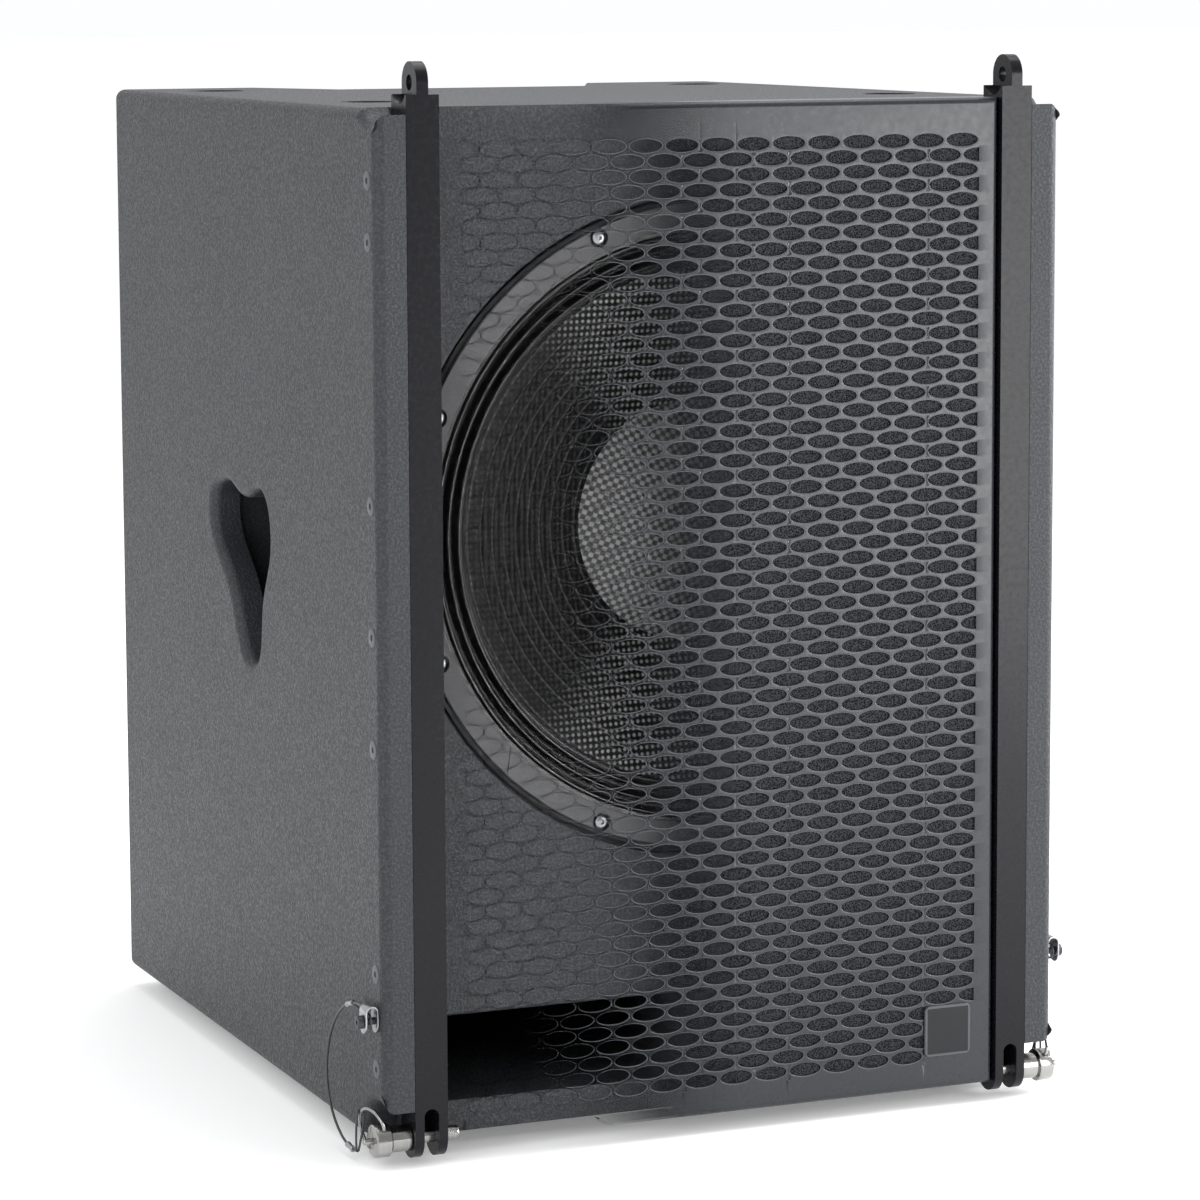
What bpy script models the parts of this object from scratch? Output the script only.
"""Line array bass speaker cabinet: a plywood box with an 18 inch woofer behind a formed grille, a slot port,
front rigging bars with quick-release pins, and a splay link in a channel down its back.

Metres, +X to the right as seen from the front, +Y to the rear, +Z up, origin on the floor below the centre."""

import math

import bmesh
import bpy
from mathutils import Matrix, Vector

# Cabinet
WIDTH = 0.510
DEPTH = 0.600
HEIGHT = 0.700
SIDE_THICK = 0.022
PANEL_THICK = 0.018
END_THICK = 0.022
EDGE_ROUND = 0.0075
GAP = 0.0003
FOOT_TALL = 0.0155
FRONT = -DEPTH / 2
REAR = DEPTH / 2
BASE = FOOT_TALL
TOP = BASE + HEIGHT
INNER_X = WIDTH / 2 - SIDE_THICK
PANEL_X = INNER_X - GAP
UNDER_TOP = TOP - END_THICK - GAP
OVER_BOTTOM = BASE + END_THICK + GAP

# Rigging bars and their tabs and forks
BAR_WIDE = 0.0233
BAR_DEEP = 0.028
BAR_X = INNER_X - GAP - BAR_WIDE / 2
BAR_AXIS_Y = FRONT + BAR_DEEP / 2
BAR_SHOULDER = TOP + 0.0088
TAB_THICK = 0.0084
TAB_HOLE_R = 0.0053
SEAT_R = 0.0143
SLOT_WIDE = 0.0105
SLOT_TOP = BASE + 0.0255
PIN_AXIS_Z = BASE + 0.004
TAB_AXIS_Z = TOP + 0.0165
NOTCH_R = 0.025
END_FRONT = FRONT + BAR_DEEP + GAP

# Baffle, port and grille
BAFFLE_FRONT = FRONT + 0.0286
BAFFLE_THICK = 0.024
PORT_TALL = 0.059
PORT_ROOF = BASE + END_THICK + PORT_TALL
PORT_DEPTH = 0.390
BRACE_Y = FRONT + 0.300
BRACE_Z = BASE + 0.545
BRACE_TALL = 0.090
GRILLE_FACE = FRONT + 0.0025
GRILLE_BACK = END_FRONT - GAP
GRILLE_X = BAR_X - BAR_WIDE / 2 - 0.0013
GRILLE_SHEET = 0.0015
GRILLE_ROUND = 0.0065
GRILLE_BELOW = 0.0020
GRILLE_ABOVE = 0.0010
FOAM_THICK = 0.0090
BADGE_WIDE = 0.0360
BADGE_TALL = 0.0366
BADGE_THICK = 0.0016
BADGE_ROUND = 0.0040
BADGE_X = 0.1712
BADGE_Z = BASE + 0.0405

# Woofer; its heights are counted forwards from the seat that its flange rests on
DRIVER_Z = BASE + 0.408
SEAT_DEPTH = 0.008
DRIVER_SEAT_Y = BAFFLE_FRONT + SEAT_DEPTH
REBATE_R = 0.2305
HOLE_R = 0.2115
FLANGE_R = 0.2275
BOLT_CIRCLE_R = 0.218
BOLT_COUNT = 8
BOLT_HEAD_R = 0.005
BOLT_SHANK_R = 0.003
BOLT_HOLE_R = 0.0034
CONE_R = 0.1765
CAP_R = 0.084
COIL_R = 0.0510
ROLL_COUNT = 3
ROLL_HEIGHT = 0.0042
DRIVER_STEPS = 32

# Rear channel, connectors and splay link
CHANNEL_OUT_X = 0.147
CHANNEL_IN_X = 0.103
CHANNEL_Y = 0.200
LINK_Y = 0.245
LINK_Z = TOP - 0.055
LINK_LONG = 0.110
LINK_R = 0.018
LINK_THICK = 0.012
LINK_HOLE_R = 0.0064
EAR_THICK = 0.006
PLATE_Z = BASE + 0.300
PLATE_THICK = 0.0025
SOCKET_X = 0.022
SOCKET_R = 0.0095
SOCKET_BODY_R = 0.0122
SOCKET_DEEP = 0.0200

# Hand-holes
GRIP_Y = FRONT + 0.298
GRIP_Z = BASE + 0.356
CUP_DEEP = 0.058
CUP_HALF_Y = 0.078
CUP_HALF_Z = 0.074
CUP_WALL = 0.005

# Feet
FOOT_X = 0.200
FOOT_YS = (FRONT + 0.160, FRONT + 0.507)
FOOT_R = 0.018
DIMPLE_R = 0.0215
DIMPLE_DEEP = 0.003

# Quick-release pins, out along each side from the bar
PIN_R = 0.0050
PIN_HOLE_R = 0.0053
COLLAR_R = 0.0091
COLLAR_LONG = 0.0150
HEAD_R = 0.0116
HEAD_LONG = 0.0110
TIP_OUT = 0.0130
BUTTON_R = 0.0022
BUTTON_OUT = 0.0070
BUTTON_BORE_R = 0.0026
RING_WIRE_R = 0.00125
RING_TILT = math.radians(40)
RING_LEAN = math.radians(73)

# Lanyards
CLIP_Y = FRONT + 0.0145
CLIP_Z = BASE + 0.087
CLIP_OUT = 0.0096
WIRE_R = 0.0009

MATERIALS = {
    "coated_plywood": ((0.060, 0.063, 0.070), 0.75, 0.0),
    "black_steel": ((0.030, 0.031, 0.036), 0.45, 0.3),
    "grille_steel": ((0.085, 0.090, 0.100), 0.45, 0.3),
    "acoustic_foam": ((0.020, 0.020, 0.022), 0.95, 0.0),
    "badge_plate": ((0.070, 0.072, 0.075), 0.35, 0.2),
    "cast_frame": ((0.050, 0.052, 0.055), 0.50, 0.6),
    "gasket_ring": ((0.160, 0.165, 0.170), 0.80, 0.0),
    "treated_cloth": ((0.015, 0.015, 0.017), 0.35, 0.0),
    "woven_cone": ((0.030, 0.030, 0.033), 0.45, 0.0),
    "woven_cap": ((0.090, 0.092, 0.095), 0.40, 0.0),
    "spider_cloth": ((0.350, 0.220, 0.090), 0.90, 0.0),
    "coil_wire": ((0.600, 0.300, 0.120), 0.40, 0.9),
    "motor_steel": ((0.350, 0.355, 0.360), 0.40, 1.0),
    "ferrite": ((0.045, 0.045, 0.047), 0.70, 0.0),
    "black_screw": ((0.025, 0.025, 0.027), 0.35, 0.8),
    "rubber_foot": ((0.015, 0.015, 0.015), 0.85, 0.0),
    "socket_plastic": ((0.020, 0.020, 0.022), 0.50, 0.0),
    "clip_aluminium": ((0.600, 0.605, 0.610), 0.35, 1.0),
    "pin_steel": ((0.620, 0.610, 0.590), 0.25, 1.0),
    "lanyard_cover": ((0.025, 0.028, 0.033), 0.45, 0.0),
}


def clear_scene():
    for obj in list(bpy.data.objects):
        bpy.data.objects.remove(obj, do_unlink=True)


def new_collection(name):
    group = bpy.data.collections.new(name)
    bpy.context.scene.collection.children.link(group)
    return group


clear_scene()
PARTS = new_collection("line_array_speaker")
CUTTERS = new_collection("cutters")
CUTTERS.hide_render = True


def material(name):
    found = bpy.data.materials.get(name)
    if found:
        return found
    colour, roughness, metallic = MATERIALS[name]
    made = bpy.data.materials.new(name)
    made.use_nodes = True
    shader = made.node_tree.nodes["Principled BSDF"]
    shader.inputs["Base Color"].default_value = (*colour, 1.0)
    shader.inputs["Roughness"].default_value = roughness
    shader.inputs["Metallic"].default_value = metallic
    made.diffuse_color = (*colour, 1.0)
    return made


def add_object(name, data, finish=None):
    """An object in the parts collection, or in the cutters' one if it has no finish."""
    obj = bpy.data.objects.new(name, data)
    if finish:
        PARTS.objects.link(obj)
        data.materials.append(material(finish))
    else:
        CUTTERS.objects.link(obj)
        obj.hide_render = True
        obj.display_type = "WIRE"
    return obj


def mesh_from(name, bm, finish=None):
    data = bpy.data.meshes.new(name)
    bmesh.ops.recalc_face_normals(bm, faces=bm.faces)
    bm.to_mesh(data)
    bm.free()
    return add_object(name, data, finish)


def box(name, low, high, finish=None, bevel=0.0, segments=2):
    """A box between two corners, with its edges rounded by the bevel."""
    bm = bmesh.new()
    bmesh.ops.create_cube(bm, size=1.0)
    middle = (Vector(low) + Vector(high)) / 2
    spans = Vector(high) - Vector(low)
    bmesh.ops.scale(bm, vec=spans, verts=bm.verts)
    bmesh.ops.translate(bm, vec=middle, verts=bm.verts)
    obj = mesh_from(name, bm, finish)
    if bevel:
        rounding = obj.modifiers.new("Rounding", "BEVEL")
        rounding.width = bevel
        rounding.segments = segments
    return obj


def rod(name, radius, start, end, finish=None, sides=24):
    """A cylinder between two points."""
    start, end = Vector(start), Vector(end)
    bm = bmesh.new()
    bmesh.ops.create_cone(
        bm, cap_ends=True, segments=sides, radius1=radius, radius2=radius, depth=(end - start).length
    )
    turn = (end - start).to_track_quat("Z", "Y").to_matrix().to_4x4()
    bmesh.ops.transform(bm, matrix=Matrix.Translation((start + end) / 2) @ turn, verts=bm.verts)
    return mesh_from(name, bm, finish)


def cut(target, *cutters, join=False):
    for cutter in cutters:
        step = target.modifiers.new(cutter.name, "BOOLEAN")
        step.operation = "UNION" if join else "DIFFERENCE"
        step.solver = "EXACT"
        step.object = cutter


def loop_area(points):
    ring = zip(points, points[1:] + points[:1])
    return sum(a[0] * b[1] - b[0] * a[1] for a, b in ring) / 2


def turned(name, profile, finish=None, steps=24):
    """A solid turned about local +Z from (radius, height) points. A profile that starts and ends on the axis
    makes a solid disc; any other is a closed loop and makes a ring."""
    points = list(profile)
    if loop_area(points) > 0:
        points.reverse()
    solid = points[0][0] == 0 and points[-1][0] == 0
    bm = bmesh.new()
    verts = [bm.verts.new((radius, 0, height)) for radius, height in points]
    for first, second in zip(verts, verts[1:]):
        if first.co.x > 0 or second.co.x > 0:
            bm.edges.new((first, second))
    if not solid:
        bm.edges.new((verts[-1], verts[0]))
    data = bpy.data.meshes.new(name)
    bm.to_mesh(data)
    bm.free()
    obj = add_object(name, data, finish)
    screw = obj.modifiers.new("Turn", "SCREW")
    screw.steps = screw.render_steps = steps
    screw.use_merge_vertices = True
    screw.merge_threshold = 0.00001
    screw.use_smooth_shade = True
    return obj


def frozen(obj):
    """The object's evaluated mesh as its own data, with its place applied and its modifiers gone."""
    bpy.context.view_layer.update()
    graph = bpy.context.evaluated_depsgraph_get()
    data = bpy.data.meshes.new_from_object(obj.evaluated_get(graph))
    data.transform(obj.matrix_world)
    bm = bmesh.new()
    bm.from_mesh(data)
    bmesh.ops.remove_doubles(bm, verts=bm.verts, dist=0.000002)
    bm.to_mesh(data)
    bm.free()
    name, groups, finish = obj.name, obj.users_collection, obj.data.materials[:]
    hidden = obj.hide_render
    bpy.data.objects.remove(obj)
    made = bpy.data.objects.new(name, data)
    data.materials.clear()
    for item in finish:
        data.materials.append(item)
    for group in groups:
        group.objects.link(made)
    made.hide_render = hidden
    if hidden:
        made.display_type = "WIRE"
    return made


def outline_curve(name, splines, half_thick, finish=None):
    """A flat curve in local XY, thickened along local Z. Each spline is (kind, points), kind POLY or BEZIER."""
    data = bpy.data.curves.new(name, "CURVE")
    data.dimensions = "2D"
    data.fill_mode = "BOTH"
    data.extrude = half_thick
    data.resolution_u = 5
    for kind, points in splines:
        spline = data.splines.new(kind)
        spline.use_cyclic_u = True
        if kind == "POLY":
            spline.points.add(len(points) - 1)
            for point, (x, y) in zip(spline.points, points):
                point.co = (x, y, 0, 1)
            continue
        spline.bezier_points.add(len(points) - 1)
        for point, (x, y) in zip(spline.bezier_points, points):
            point.co = (x, y, 0)
            point.handle_left_type = point.handle_right_type = "AUTO"
    return add_object(name, data, finish)


def arc(centre, radius, start, end, steps):
    """Points on an arc, from one angle to another in degrees."""
    angles = [math.radians(start + (end - start) * step / steps) for step in range(steps + 1)]
    return [(centre[0] + radius * math.cos(a), centre[1] + radius * math.sin(a)) for a in angles]


# Turns local XY into world YZ, with local +Z along world +X
YZ_PLANE = Matrix(((0, 0, 1, 0), (1, 0, 0, 0), (0, 1, 0, 0), (0, 0, 0, 1)))
# Turns local XY into world XZ, with local +Z along world -Y
XZ_PLANE = Matrix(((1, 0, 0, 0), (0, 0, -1, 0), (0, 1, 0, 0), (0, 0, 0, 1)))


def slab_yz(name, splines, x_low, x_high, finish=None):
    """A flat outline in world Y and Z, as thick as the span in X."""
    obj = outline_curve(name, splines, (x_high - x_low) / 2, finish)
    obj.matrix_world = Matrix.Translation(((x_low + x_high) / 2, 0, 0)) @ YZ_PLANE
    return frozen(obj)


def slab_xy(name, points, z_low, z_high, finish=None):
    obj = outline_curve(name, [("POLY", points)], (z_high - z_low) / 2, finish)
    obj.location.z = (z_low + z_high) / 2
    return frozen(obj)


def slab_xz(name, splines, y_low, y_high, finish=None):
    obj = outline_curve(name, splines, (y_high - y_low) / 2, finish)
    obj.matrix_world = Matrix.Translation((0, (y_low + y_high) / 2, 0)) @ XZ_PLANE
    return frozen(obj)


def round_rim(obj, axis, level, width, segments=3):
    """Rounds the edges of the flat face that lies at this level of the axis."""
    bm = bmesh.new()
    bm.from_mesh(obj.data)
    bmesh.ops.dissolve_limit(bm, angle_limit=math.radians(1), verts=bm.verts, edges=bm.edges)
    rim = []
    for edge in bm.edges:
        on_face = all(abs(vert.co[axis] - level) < 1e-5 for vert in edge.verts)
        if on_face and edge.is_manifold and edge.calc_face_angle() > math.radians(60):
            rim.append(edge)
    bmesh.ops.bevel(
        bm, geom=rim, offset=width, segments=segments, profile=0.5, affect="EDGES", clamp_overlap=True
    )
    bmesh.ops.remove_doubles(bm, verts=bm.verts, dist=0.00001)
    bm.to_mesh(obj.data)
    bm.free()


def ring_of_points(radius, count, first_degrees):
    """Places round the woofer's axis, as world X and Z."""
    for index in range(count):
        angle = math.radians(first_degrees + 360 * index / count)
        yield radius * math.cos(angle), DRIVER_Z + radius * math.sin(angle)


def grip_outline():
    """The hand-hole's heart-like outline: two lobes over a taper, in world Y and Z."""
    rough = (
        (-0.026, -0.0620), (-0.048, -0.0110), (-0.0655, 0.0370), (-0.0490, 0.0625),
        (-0.005, 0.0555), (0.0385, 0.0630), (0.0645, 0.0455), (0.0205, -0.0130),
    )
    return [(GRIP_Y + y, GRIP_Z + z) for y, z in rough]


def side_panel(name, side):
    """Plywood side with rounded edges, a hand-hole, and round notches for the pins at its two front corners."""
    low_y = BAR_AXIS_Y + math.sqrt(NOTCH_R ** 2 - (PIN_AXIS_Z - BASE) ** 2)
    top_y = BAR_AXIS_Y + math.sqrt(NOTCH_R ** 2 - (TAB_AXIS_Z - TOP) ** 2)
    dip = BAR_DEEP / 2
    low_end = math.degrees(math.atan2(math.sqrt(NOTCH_R ** 2 - dip ** 2), -dip))
    low_start = math.degrees(math.atan2(BASE - PIN_AXIS_Z, low_y - BAR_AXIS_Y))
    top_end = math.degrees(math.atan2(TOP - TAB_AXIS_Z, top_y - BAR_AXIS_Y))
    corner = EDGE_ROUND
    outline = arc((BAR_AXIS_Y, PIN_AXIS_Z), NOTCH_R, low_start, low_end, 8)
    outline += arc((BAR_AXIS_Y, TAB_AXIS_Z), NOTCH_R, -low_end, top_end, 4)
    outline += arc((REAR - corner, TOP - corner), corner, 90, 0, 3)
    outline += arc((REAR - corner, BASE + corner), corner, 0, -90, 3)
    inner, outer = side * INNER_X, side * WIDTH / 2
    splines = [("POLY", outline), ("BEZIER", grip_outline())]
    panel = slab_yz(name, splines, min(inner, outer), max(inner, outer), "coated_plywood")
    round_rim(panel, 0, outer, EDGE_ROUND)
    return panel


def end_panel(name, low_z, high_z, outer_z):
    """Top or bottom panel, cut back for the rear channel and rounded along its rear edge."""
    panel = box(name, (-PANEL_X, END_FRONT, low_z), (PANEL_X, REAR, high_z), "coated_plywood")
    bm = bmesh.new()
    bm.from_mesh(panel.data)
    rear = [
        edge for edge in bm.edges
        if all(abs(v.co.y - REAR) < 1e-5 and abs(v.co.z - outer_z) < 1e-5 for v in edge.verts)
    ]
    bmesh.ops.bevel(bm, geom=rear, offset=EDGE_ROUND, segments=3, profile=0.5, affect="EDGES")
    bm.to_mesh(panel.data)
    bm.free()

    run = (CHANNEL_OUT_X - CHANNEL_IN_X) / (REAR - CHANNEL_Y)
    past = REAR + 0.02
    wide = CHANNEL_IN_X + run * (past - CHANNEL_Y)
    plan = [(-CHANNEL_IN_X, CHANNEL_Y), (CHANNEL_IN_X, CHANNEL_Y), (wide, past), (-wide, past)]
    cut(panel, slab_xy(f"{name}_channel", plan, low_z - 0.01, high_z + 0.01))
    return panel


def cabinet_panels():
    for side, word in ((-1, "left"), (1, "right")):
        side_panel(f"side_panel_{word}", side)

    top = end_panel("top_panel", TOP - END_THICK, TOP, TOP)
    for side in (-1, 1):
        for row, y in enumerate(FOOT_YS):
            place = (side * FOOT_X, y)
            dimple = rod(
                f"dimple_{side}_{row}", DIMPLE_R, (*place, TOP - DIMPLE_DEEP), (*place, TOP + 0.01)
            )
            cut(top, dimple)
    end_panel("bottom_panel", BASE, BASE + END_THICK, BASE)

    run = Vector((CHANNEL_OUT_X - CHANNEL_IN_X, REAR - CHANNEL_Y))
    thick_x = PANEL_THICK * run.length / run.y
    slope = run.x / run.y
    for side, word in ((-1, "left"), (1, "right")):
        wall = [
            (CHANNEL_IN_X, CHANNEL_Y), (CHANNEL_OUT_X, REAR),
            (CHANNEL_OUT_X + thick_x, REAR), (CHANNEL_IN_X + thick_x, CHANNEL_Y),
        ]
        slab_xy(
            f"channel_wall_{word}", [(side * x, y) for x, y in wall], OVER_BOTTOM, UNDER_TOP, "coated_plywood"
        )
        start = CHANNEL_OUT_X + thick_x + GAP
        wing = [
            (start, REAR), (PANEL_X, REAR), (PANEL_X, REAR - PANEL_THICK),
            (start - slope * PANEL_THICK, REAR - PANEL_THICK),
        ]
        slab_xy(f"rear_wing_{word}", [(side * x, y) for x, y in wing], OVER_BOTTOM, UNDER_TOP, "coated_plywood")

    back_y = CHANNEL_Y - GAP
    back = box(
        "channel_back",
        (-CHANNEL_IN_X - thick_x, back_y - PANEL_THICK, OVER_BOTTOM),
        (CHANNEL_IN_X + thick_x, back_y, UNDER_TOP),
        "coated_plywood",
    )
    for side in (-1, 1):
        hole = rod(
            f"socket_hole_{side}", SOCKET_BODY_R + 0.0018,
            (side * SOCKET_X, back_y - 0.03, PLATE_Z), (side * SOCKET_X, back_y + 0.01, PLATE_Z),
        )
        cut(back, hole)

    shelf_front = BAFFLE_FRONT + BAFFLE_THICK + GAP
    box(
        "port_shelf",
        (-PANEL_X, shelf_front, PORT_ROOF),
        (PANEL_X, FRONT + PORT_DEPTH, PORT_ROOF + PANEL_THICK),
        "coated_plywood",
    )
    box(
        "cross_brace",
        (-PANEL_X, BRACE_Y, BRACE_Z - BRACE_TALL / 2),
        (PANEL_X, BRACE_Y + PANEL_THICK, BRACE_Z + BRACE_TALL / 2),
        "coated_plywood",
    )


def baffle():
    panel = box(
        "baffle",
        (-PANEL_X, BAFFLE_FRONT, PORT_ROOF), (PANEL_X, BAFFLE_FRONT + BAFFLE_THICK, UNDER_TOP),
        "coated_plywood",
    )
    before, behind = BAFFLE_FRONT - 0.02, BAFFLE_FRONT + BAFFLE_THICK + 0.02
    seat = DRIVER_SEAT_Y
    cut(panel, rod("driver_rebate", REBATE_R, (0, before, DRIVER_Z), (0, seat, DRIVER_Z), sides=72))
    cut(panel, rod("driver_hole", HOLE_R, (0, before, DRIVER_Z), (0, behind, DRIVER_Z), sides=72))
    for index, (x, z) in enumerate(ring_of_points(BOLT_CIRCLE_R, BOLT_COUNT, 22.5)):
        cut(panel, rod(f"baffle_bolt_hole_{index}", BOLT_HOLE_R, (x, before, z), (x, behind, z), sides=12))


def hand_cup(name, side):
    """Wooden pocket behind the hand-hole: a box that is open towards the side panel."""
    mouth = side * (INNER_X - GAP)
    floor = side * (INNER_X - GAP - CUP_DEEP)
    wall = CUP_WALL
    low_y, high_y = GRIP_Y - CUP_HALF_Y, GRIP_Y + CUP_HALF_Y
    low_z, high_z = GRIP_Z - CUP_HALF_Z, GRIP_Z + CUP_HALF_Z
    outer = box(
        name, (min(mouth, floor), low_y, low_z), (max(mouth, floor), high_y, high_z), "coated_plywood"
    )
    inner_floor = floor + side * wall
    past_mouth = mouth + side * 0.01
    hollow = box(
        f"{name}_hollow",
        (min(past_mouth, inner_floor), low_y + wall, low_z + wall),
        (max(past_mouth, inner_floor), high_y - wall, high_z - wall),
    )
    cut(outer, hollow)


def rigging_bar(name, side):
    """Steel bar with a drilled tab on top and a fork at the foot, both rounded about their pin's axis."""
    half = BAR_WIDE / 2
    radius = BAR_DEEP / 2
    outline = [(FRONT, BAR_SHOULDER), (FRONT, PIN_AXIS_Z)]
    outline += arc((BAR_AXIS_Y, PIN_AXIS_Z), radius, 180, 360, 10)[1:]
    outline += [(FRONT + BAR_DEEP, BAR_SHOULDER)]
    x = side * BAR_X
    bar = slab_yz(name, [("POLY", outline)], x - half, x + half, "black_steel")

    tab_outline = [(FRONT, BAR_SHOULDER - 0.02), (FRONT, TAB_AXIS_Z)]
    tab_outline += arc((BAR_AXIS_Y, TAB_AXIS_Z), radius, 180, 0, 12)[1:]
    tab_outline += [(FRONT + BAR_DEEP, BAR_SHOULDER - 0.02)]
    tab = slab_yz(f"{name}_tab", [("POLY", tab_outline)], x - TAB_THICK / 2, x + TAB_THICK / 2)
    for edge in (-1, 1):
        inner = x + edge * TAB_THICK / 2
        outer = x + edge * (half + 0.01)
        axis = (BAR_AXIS_Y, TAB_AXIS_Z)
        cut(bar, rod(f"{name}_seat_{edge}", SEAT_R, (inner, *axis), (outer, *axis), sides=36))
    cut(bar, tab, join=True)

    slot = [(x - SLOT_WIDE / 2, 0.0), (x + SLOT_WIDE / 2, 0.0)]
    slot += arc((x, SLOT_TOP - SLOT_WIDE / 2), SLOT_WIDE / 2, 0, 180, 8)
    cut(bar, slab_xz(f"{name}_slot", [("POLY", slot)], FRONT - 0.01, FRONT + BAR_DEEP + 0.01))
    for label, z, hole_r in (("tab_hole", TAB_AXIS_Z, TAB_HOLE_R), ("fork_hole", PIN_AXIS_Z, PIN_HOLE_R)):
        hole = rod(
            f"{name}_{label}", hole_r,
            (x - half - 0.01, BAR_AXIS_Y, z), (x + half + 0.01, BAR_AXIS_Y, z), sides=24,
        )
        cut(bar, hole)


def grille():
    """Formed steel pan with rounded front edges and returns that reach back to the cabinet."""
    low_z, high_z = BASE - GRILLE_BELOW, TOP + GRILLE_ABOVE
    bm = bmesh.new()
    bmesh.ops.create_cube(bm, size=1.0)
    bmesh.ops.scale(bm, vec=(2 * GRILLE_X, GRILLE_BACK - GRILLE_FACE, high_z - low_z), verts=bm.verts)
    middle = (0, (GRILLE_BACK + GRILLE_FACE) / 2, (low_z + high_z) / 2)
    bmesh.ops.translate(bm, vec=middle, verts=bm.verts)
    open_back = [face for face in bm.faces if face.calc_center_median().y > GRILLE_BACK - 1e-4]
    bmesh.ops.delete(bm, geom=open_back, context="FACES")
    front = [edge for edge in bm.edges if all(abs(v.co.y - GRILLE_FACE) < 1e-6 for v in edge.verts)]
    bmesh.ops.bevel(bm, geom=front, offset=GRILLE_ROUND, segments=4, profile=0.5, affect="EDGES")
    pan = mesh_from("grille", bm, "grille_steel")
    sheet = pan.modifiers.new("Sheet", "SOLIDIFY")
    sheet.thickness = GRILLE_SHEET
    sheet.offset = -1
    sheet.use_even_offset = True

    inset = GRILLE_SHEET + GAP + 0.004
    foam_front = GRILLE_FACE + GRILLE_SHEET + GAP
    foam = box(
        "grille_foam",
        (-GRILLE_X + inset, foam_front, low_z + inset),
        (GRILLE_X - inset, foam_front + FOAM_THICK, high_z - inset),
        "acoustic_foam",
    )
    tip_x = BAR_X - BAR_WIDE / 2 - TIP_OUT - 0.003
    for side in (-1, 1):
        low_x, high_x = sorted((side * tip_x, side * (GRILLE_X + 0.01)))
        room = box(
            f"pin_tip_room_{side}",
            (low_x, BAR_AXIS_Y - PIN_R - 0.002, low_z - 0.01),
            (high_x, GRILLE_BACK + 0.01, PIN_AXIS_Z + PIN_R + 0.003),
        )
        cut(pan, room)
        cut(foam, room)


def badge():
    """Blank name plate with rounded corners, on the grille's face."""
    outline = []
    for side_x, side_z, start in ((1, 1, 0), (-1, 1, 90), (-1, -1, 180), (1, -1, 270)):
        corner = (
            BADGE_X + side_x * (BADGE_WIDE / 2 - BADGE_ROUND), BADGE_Z + side_z * (BADGE_TALL / 2 - BADGE_ROUND),
        )
        outline += arc(corner, BADGE_ROUND, start, start + 90, 4)
    face = GRILLE_FACE - GAP - BADGE_THICK
    plate = slab_xz("badge", [("POLY", outline)], face, face + BADGE_THICK, "badge_plate")
    round_rim(plate, 1, face, 0.0005, 2)


def on_driver(obj):
    """Stands a piece turned about local +Z on the woofer's axis, with local +Z to the front."""
    obj.location = (0, DRIVER_SEAT_Y, DRIVER_Z)
    obj.rotation_euler = (math.pi / 2, 0, 0)
    return obj


def driver_turned(name, profile, finish, steps=DRIVER_STEPS):
    return on_driver(turned(name, profile, finish, steps))


def thick_line(points, thickness):
    """A closed profile loop along a line of (radius, height) points, thickened downwards."""
    return list(points) + [(radius, height - thickness) for radius, height in reversed(points)]


FLANGE_TOP = 0.0052
LIP_TOP = FLANGE_TOP + GAP + 0.0008
GASKET_TOP = 0.0080
NECK_Z = -0.0580
BOWL_SEAT = -0.1020
TOP_PLATE_Z = BOWL_SEAT - GAP
MAGNET_Z = TOP_PLATE_Z - 0.0120 - GAP
BACK_PLATE_Z = MAGNET_Z - 0.0240 - GAP
DRIVER_END = BACK_PLATE_Z - 0.0120


def driver_basket():
    """Cast frame: flange, a bowl with six windows, and the seat that carries the motor."""
    wall = 0.0045
    outer = [(FLANGE_R, FLANGE_TOP), (FLANGE_R, GAP), (0.2080, GAP), (0.1700, -0.0600), (0.1200, -0.0940)]
    outer += [(0.1200, BOWL_SEAT), (0.0580, BOWL_SEAT), (0.0580, BOWL_SEAT + 0.0070)]
    inner = [(0.1130, BOWL_SEAT + 0.0120), (0.1700 - wall, -0.0570), (0.2045, -0.0020), (0.2045, FLANGE_TOP)]
    basket = driver_turned("driver_basket", outer + inner, "cast_frame")
    windows = []
    for index in range(6):
        window = box(f"basket_window_{index}", (-0.040, 0.125, -0.090), (0.040, 0.260, -0.012))
        turn = Matrix.Rotation(math.radians(60 * index), 4, "Z")
        stand = Matrix.Translation((0, DRIVER_SEAT_Y, DRIVER_Z)) @ Matrix.Rotation(math.pi / 2, 4, "X")
        window.matrix_world = stand @ turn
        windows.append(window)
    basket = frozen(basket)
    cut(basket, *windows)
    for index, (x, z) in enumerate(ring_of_points(BOLT_CIRCLE_R, BOLT_COUNT, 22.5)):
        ends = ((x, BAFFLE_FRONT - 0.01, z), (x, DRIVER_SEAT_Y + 0.01, z))
        cut(basket, rod(f"flange_bolt_hole_{index}", BOLT_HOLE_R, *ends, sides=12))


def driver_gasket():
    """Gasket ring with a scallop for each bolt head."""
    lip_r = 0.2122
    profile = [
        (0.2215, GASKET_TOP), (0.2215, FLANGE_TOP + GAP), (lip_r + GAP, FLANGE_TOP + GAP),
        (lip_r + GAP, LIP_TOP + GAP), (0.2075, LIP_TOP + GAP), (0.2075, GASKET_TOP),
    ]
    gasket = frozen(driver_turned("driver_gasket", profile, "gasket_ring", 64))
    for index, (x, z) in enumerate(ring_of_points(BOLT_CIRCLE_R, BOLT_COUNT, 22.5)):
        ends = ((x, BAFFLE_FRONT - 0.01, z), (x, DRIVER_SEAT_Y, z))
        cut(gasket, rod(f"gasket_scallop_{index}", BOLT_HEAD_R + 0.0008, *ends, sides=16))


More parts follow.
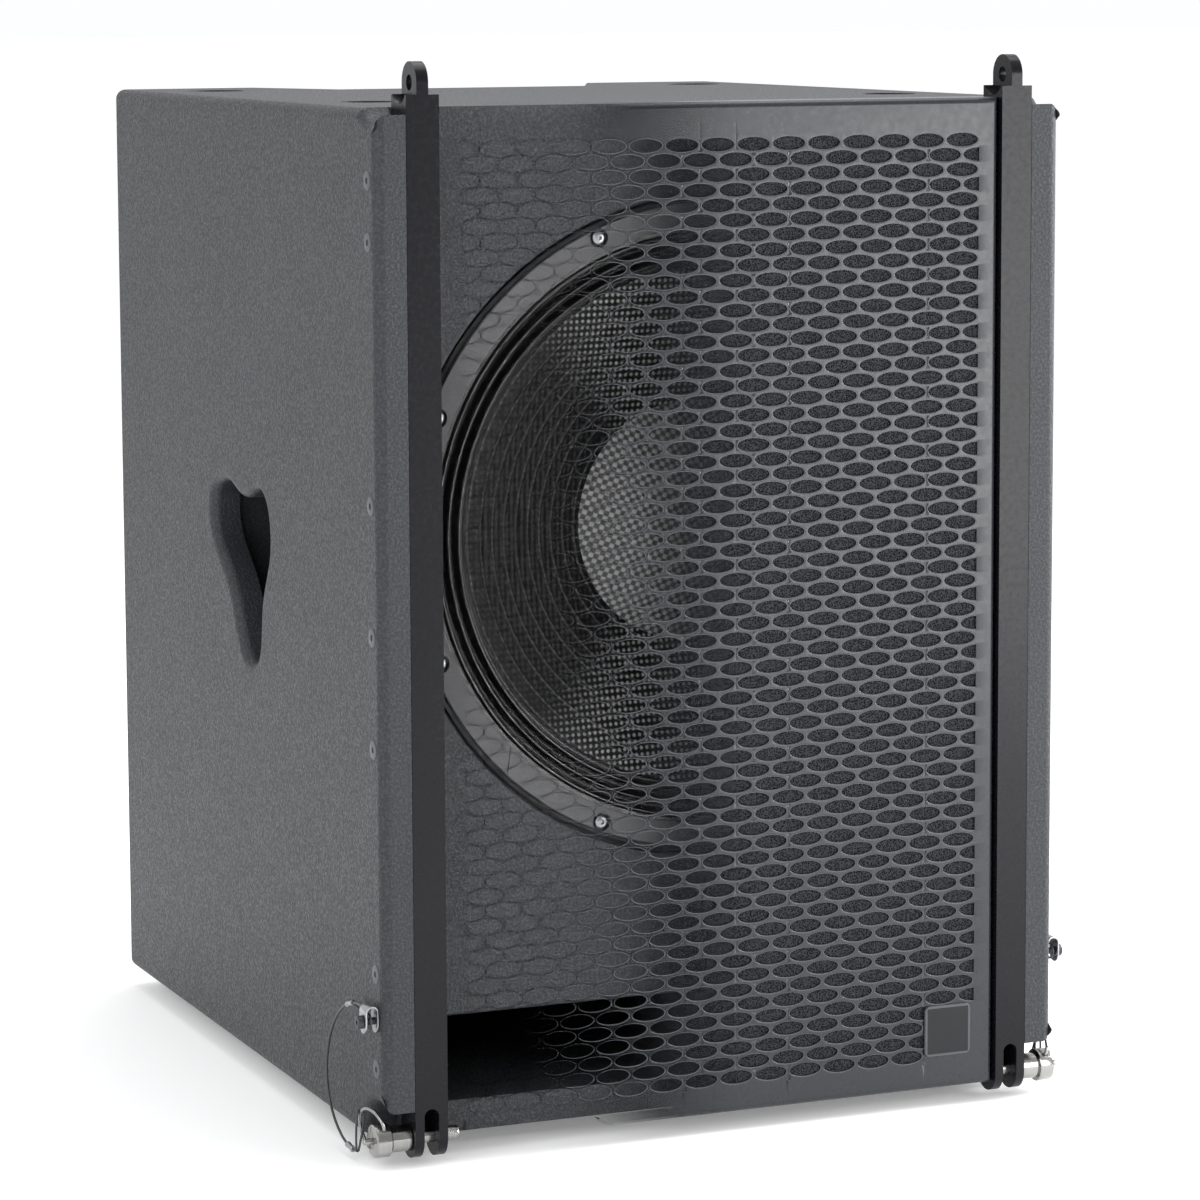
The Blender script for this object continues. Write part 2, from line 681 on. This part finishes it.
def driver_bolts():
    for index, (x, z) in enumerate(ring_of_points(BOLT_CIRCLE_R, BOLT_COUNT, 22.5)):
        under, tall = FLANGE_TOP + GAP, 0.0032
        profile = [
            (0, under + tall), (BOLT_HEAD_R - 0.0012, under + tall), (BOLT_HEAD_R, under + tall - 0.0012),
            (BOLT_HEAD_R, under), (BOLT_SHANK_R, under), (BOLT_SHANK_R, under - 0.0200), (0, under - 0.0200),
        ]
        bolt = turned(f"driver_bolt_{index + 1}", profile, "black_screw", 12)
        bolt.location = (x, DRIVER_SEAT_Y, z)
        bolt.rotation_euler = (math.pi / 2, 0, 0)


def surround():
    """Pleated cloth edge: a flat lip under the gasket, then three rolls down to the cone's rim."""
    start, end = 0.2050, CONE_R + 0.0032
    steps = ROLL_COUNT * 4
    line = [(0.2122, LIP_TOP), (0.2065, LIP_TOP)]
    drop = LIP_TOP - 0.0010
    for step in range(steps + 1):
        share = step / steps
        radius = start + (end - start) * share
        wave = math.sin(2 * math.pi * ROLL_COUNT * share)
        line.append((radius, LIP_TOP - drop * share + ROLL_HEIGHT * wave * math.sin(math.pi * share) ** 0.25))
    driver_turned("surround", thick_line(line, 0.0008), "treated_cloth")


def moving_cone():
    """Cone, dust cap and voice coil, which travel together along the woofer's axis."""
    face = [(CONE_R + 0.0028, 0.0000), (0.1690, -0.0016), (CAP_R, -0.0310), (COIL_R + 0.0016, NECK_Z)]
    driver_turned("cone", thick_line(face, 0.0014), "woven_cone")

    rise = 0.0210
    rings = 6
    dome = []
    for step in range(rings + 1):
        radius = CAP_R * step / rings
        dome.append((radius, -0.0306 + rise * (1 - (radius / CAP_R) ** 2)))
    inside = [(radius, height - 0.0010) for radius, height in reversed(dome[:-1])]
    driver_turned("dust_cap", dome + [(CAP_R - 0.0006, -0.0307 + 0.0002)] + inside, "woven_cap")

    former = [
        (COIL_R + 0.0006, NECK_Z + 0.0020), (COIL_R + 0.0006, NECK_Z - 0.0390),
        (COIL_R + 0.0013, NECK_Z - 0.0390), (COIL_R + 0.0013, NECK_Z - 0.0640),
        (COIL_R, NECK_Z - 0.0640), (COIL_R, NECK_Z + 0.0020),
    ]
    driver_turned("voice_coil", former, "coil_wire")


def spider():
    """Corrugated disc that centres the coil in the gap."""
    inner_r, outer_r, height = COIL_R + 0.0009, 0.1120, -0.0800
    steps = 10
    line = []
    for step in range(steps + 1):
        radius = outer_r + (inner_r - outer_r) * step / steps
        wave = 0 if step in (0, steps) else 0.0022 * (-1) ** step
        line.append((radius, height + wave))
    driver_turned("spider", thick_line(line, 0.0007), "spider_cloth")


def motor():
    gap_r = COIL_R + 0.0024
    under = TOP_PLATE_Z - 0.0120
    plate = [(0.0950, TOP_PLATE_Z), (0.0950, under), (gap_r, under), (gap_r, TOP_PLATE_Z)]
    driver_turned("top_plate", plate, "motor_steel")
    magnet = [(0.1050, MAGNET_Z), (0.1050, MAGNET_Z - 0.0240), (0.0600, MAGNET_Z - 0.0240), (0.0600, MAGNET_Z)]
    driver_turned("magnet", magnet, "ferrite")
    pole_r = COIL_R - 0.0012
    pole = [
        (0, TOP_PLATE_Z), (pole_r, TOP_PLATE_Z), (pole_r, BACK_PLATE_Z),
        (0.0950, BACK_PLATE_Z), (0.0950, DRIVER_END), (0, DRIVER_END),
    ]
    driver_turned("back_plate", pole, "motor_steel")


def feet():
    for side, word in ((-1, "left"), (1, "right")):
        for place, y in zip(("front", "rear"), FOOT_YS):
            tall = FOOT_TALL - GAP
            profile = [(0, tall), (FOOT_R, tall), (FOOT_R, 0.003), (FOOT_R - 0.0025, 0), (0, 0)]
            foot = turned(f"foot_{place}_{word}", profile, "rubber_foot", 20)
            foot.location = (side * FOOT_X, y, 0)


def rear_connectors():
    """Plate with two round cable sockets, on the back of the channel."""
    plate_y = CHANNEL_Y
    half_wide, half_tall = 0.048, 0.033
    plate = box(
        "connector_plate",
        (-half_wide, plate_y, PLATE_Z - half_tall),
        (half_wide, plate_y + PLATE_THICK, PLATE_Z + half_tall),
        "black_steel",
    )
    for side, word in ((-1, "input"), (1, "link")):
        x = side * SOCKET_X
        ends = ((x, plate_y - 0.01, PLATE_Z), (x, plate_y + 0.02, PLATE_Z))
        cut(plate, rod(f"plate_hole_{word}", SOCKET_BODY_R + 0.0005, *ends))
        lip = PLATE_THICK + GAP
        end = -SOCKET_DEEP - 0.0040
        profile = [
            (0, -SOCKET_DEEP), (SOCKET_R, -SOCKET_DEEP), (SOCKET_R, lip + 0.0022), (0.0155, lip + 0.0022),
            (0.0155, lip), (SOCKET_BODY_R, lip), (SOCKET_BODY_R, end), (0, end),
        ]
        socket = turned(f"socket_{word}", profile, "socket_plastic")
        socket.location = (x, plate_y, PLATE_Z)
        socket.rotation_euler = (-math.pi / 2, 0, 0)


def splay_rigging():
    """Bracket in the rear channel with a link that swings up and out to the cabinet above."""
    ear_in = LINK_THICK / 2 + 0.0004
    ear_out = ear_in + EAR_THICK
    web_y = CHANNEL_Y
    low_z, high_z = LINK_Z - 0.040, LINK_Z + 0.032
    bracket = box("splay_bracket", (-0.034, web_y, low_z - 0.02), (0.034, web_y + 0.005, high_z), "black_steel")
    for side in (-1, 1):
        ear_outline = [(web_y + 0.002, low_z)]
        ear_outline += arc((LINK_Y, LINK_Z), 0.020, -90, 90, 8)
        ear_outline += [(web_y + 0.002, high_z - 0.006)]
        low_x, high_x = sorted((side * ear_in, side * ear_out))
        cut(bracket, slab_yz(f"bracket_ear_{side}", [("POLY", ear_outline)], low_x, high_x), join=True)
    bore = rod("bracket_bore", LINK_HOLE_R, (-0.03, LINK_Y, LINK_Z), (0.03, LINK_Y, LINK_Z))
    cut(bracket, bore)

    end_z = LINK_Z - LINK_LONG
    outline = arc((LINK_Y, LINK_Z), LINK_R, 0, 180, 10) + arc((LINK_Y, end_z), LINK_R, 180, 360, 10)
    link = slab_yz("splay_link", [("POLY", outline)], -LINK_THICK / 2, LINK_THICK / 2, "black_steel")
    for label, z in (("pivot", LINK_Z), ("end", end_z)):
        cut(link, rod(f"link_{label}_bore", LINK_HOLE_R, (-0.02, LINK_Y, z), (0.02, LINK_Y, z)))

    pin_r, head_r, reach = 0.0060, 0.0100, ear_out + GAP
    profile = [
        (0, reach + 0.005), (head_r, reach + 0.005), (head_r, reach), (pin_r, reach),
        (pin_r, -reach), (head_r, -reach), (head_r, -reach - 0.005), (0, -reach - 0.005),
    ]
    pivot = turned("splay_pivot", profile, "pin_steel")
    pivot.location = (0, LINK_Y, LINK_Z)
    pivot.rotation_euler = (0, math.pi / 2, 0)


def smooth_points(knots, count):
    """Evenly counted points on the smooth curve through the knots (Catmull-Rom)."""
    knots = [Vector(knot) for knot in knots]
    padded = [2 * knots[0] - knots[1], *knots, 2 * knots[-1] - knots[-2]]
    points = []
    for index in range(count + 1):
        place = index / count * (len(knots) - 1)
        span = min(int(place), len(knots) - 2)
        t = place - span
        a, b, c, d = padded[span:span + 4]
        square, cube = 2 * a - 5 * b + 4 * c - d, 3 * b - a - 3 * c + d
        points.append(b + 0.5 * ((c - a) * t + square * t ** 2 + cube * t ** 3))
    return points


def wire(name, points, radius, finish):
    data = bpy.data.curves.new(name, "CURVE")
    data.dimensions = "3D"
    data.bevel_depth = radius
    data.bevel_resolution = 2
    data.use_fill_caps = True
    spline = data.splines.new("POLY")
    spline.points.add(len(points) - 1)
    for point, place in zip(spline.points, points):
        point.co = (*place, 1)
    return add_object(name, data, finish)


def pin_frame(side):
    """Axes of one pin, with local +Z out of the cabinet."""
    face = side * (BAR_X + BAR_WIDE / 2 + GAP)
    return (face, BAR_AXIS_Y, PIN_AXIS_Z), (0, side * math.pi / 2, 0)


def ring_axes(side):
    """The ring's hinge axis, and the way its loop leans at rest."""
    hinge = Vector((0, -math.sin(RING_TILT), math.cos(RING_TILT)))
    back_up = Vector((0, math.cos(RING_TILT), math.sin(RING_TILT)))
    lean = math.cos(RING_LEAN) * Vector((side, 0, 0)) + math.sin(RING_LEAN) * back_up
    return hinge, lean


def quick_release_pin(side, word):
    """Pin, its pull ring and its release button, through the fork from outside."""
    place, turn = pin_frame(side)
    head_start, head_end = COLLAR_LONG, COLLAR_LONG + HEAD_LONG
    tip = -(BAR_WIDE + GAP + TIP_OUT)
    bore_floor = head_end - 0.0125
    profile = [
        (0, tip), (0.0030, tip), (PIN_R, tip + 0.0022), (PIN_R, 0), (COLLAR_R - 0.0005, 0), (COLLAR_R, 0.0005),
        (COLLAR_R, head_start), (HEAD_R - 0.0008, head_start), (HEAD_R, head_start + 0.0008),
        (HEAD_R, head_end - 0.0015), (HEAD_R - 0.0015, head_end), (BUTTON_BORE_R, head_end),
        (BUTTON_BORE_R, bore_floor), (0, bore_floor),
    ]
    pin = turned(f"pin_{word}", profile, "pin_steel", 28)
    pin.location = place
    pin.rotation_euler = turn
    pin = frozen(pin)
    hinge, lean = ring_axes(side)
    centre = Vector(place) + Vector((side * (head_start + HEAD_LONG / 2), 0, 0))
    for end in (-1, 1):
        hole = rod(
            f"ring_hole_{word}_{end}", RING_WIRE_R + 0.0003,
            centre + hinge * end * 0.0082, centre + hinge * end * 0.0200, sides=12,
        )
        cut(pin, hole)

    knots = ((0.0088, 0), (0.0118, 0), (0.0145, 0.0012), (0.0162, 0.0052), (0.0150, 0.0140), (0.0090, 0.0218))
    half = [centre + hinge * along + lean * out for along, out in knots]
    other = [centre - hinge * along + lean * out for along, out in reversed(knots)]
    route = half + [centre + lean * 0.0245] + other
    wire(f"pull_ring_{word}", smooth_points(route, 32), RING_WIRE_R, "pin_steel")

    button = [
        (0, BUTTON_OUT), (BUTTON_R - 0.0009, BUTTON_OUT), (BUTTON_R, BUTTON_OUT - 0.0012),
        (BUTTON_R, -0.0085), (0, -0.0085),
    ]
    knob = turned(f"release_button_{word}", button, "pin_steel", 16)
    knob.location = Vector(place) + Vector((side * head_end, 0, 0))
    knob.rotation_euler = turn


def lanyard_route(side):
    """Centre line of the wire from the clip round to the pull ring: distance out of the side panel,
    depth behind the cabinet's front and height above its underside, in millimetres."""
    route = (
        (7.4, 22.0, 96.5), (7.6, 34.0, 95.5), (8.0, 46.0, 93.0), (8.4, 57.0, 88.0), (9.0, 68.0, 80.0),
        (9.4, 78.0, 69.0), (9.6, 85.5, 56.0), (9.6, 89.5, 42.0), (9.5, 89.5, 28.0), (9.3, 85.0, 15.0),
        (9.0, 76.0, 4.5), (8.6, 65.0, -3.0), (8.2, 54.0, -7.0), (8.0, 43.0, -8.2), (7.8, 33.5, -7.4),
    )
    outer = WIDTH / 2
    return [(side * (outer + out / 1000), FRONT + back / 1000, BASE + up / 1000) for out, back, up in route]


def lanyard(side, word):
    """Coated wire between the side panel's clip and the pin's ring, with the clip and its screw."""
    panel = side * (WIDTH / 2 + GAP)
    out = panel + side * CLIP_OUT
    thick = 0.0012
    low, high = CLIP_Z - 0.0080, CLIP_Z + 0.0115
    bend = 0.0030
    strip = [
        (panel, low), (panel, high - bend), (panel + side * bend, high), (out - side * bend, high),
        (out, high - bend), (out, low), (out - side * thick, low), (out - side * thick, high - bend - 0.0006),
        (out - side * (bend + 0.0006), high - thick), (panel + side * (bend + 0.0006), high - thick),
        (panel + side * thick, high - bend - 0.0006), (panel + side * thick, low),
    ]
    half_wide = 0.0065
    clip = slab_xz(
        f"lanyard_clip_{word}", [("POLY", strip)], CLIP_Y - half_wide, CLIP_Y + half_wide, "clip_aluminium"
    )
    hole = rod(
        f"clip_hole_{word}", 0.0028,
        (panel - side * 0.001, CLIP_Y, CLIP_Z), (out + side * 0.004, CLIP_Y, CLIP_Z), sides=16,
    )
    cut(clip, hole)
    profile = [
        (0, 0.0042), (0.0038, 0.0042), (0.0045, 0.0035), (0.0045, GAP), (0.0024, GAP),
        (0.0024, -CLIP_OUT), (0, -CLIP_OUT),
    ]
    screw = turned(f"clip_screw_{word}", profile, "black_screw", 20)
    screw.location = (out, CLIP_Y, CLIP_Z)
    screw.rotation_euler = (0, side * math.pi / 2, 0)
    wire(f"lanyard_{word}", smooth_points(lanyard_route(side), 48), WIRE_R, "lanyard_cover")


cabinet_panels()
baffle()
for SIDE, WORD in ((-1, "left"), (1, "right")):
    hand_cup(f"hand_cup_{WORD}", SIDE)
    rigging_bar(f"rigging_bar_{WORD}", SIDE)
    quick_release_pin(SIDE, WORD)
    lanyard(SIDE, WORD)
grille()
badge()
driver_basket()
driver_gasket()
driver_bolts()
surround()
moving_cone()
spider()
motor()
feet()
rear_connectors()
splay_rigging()
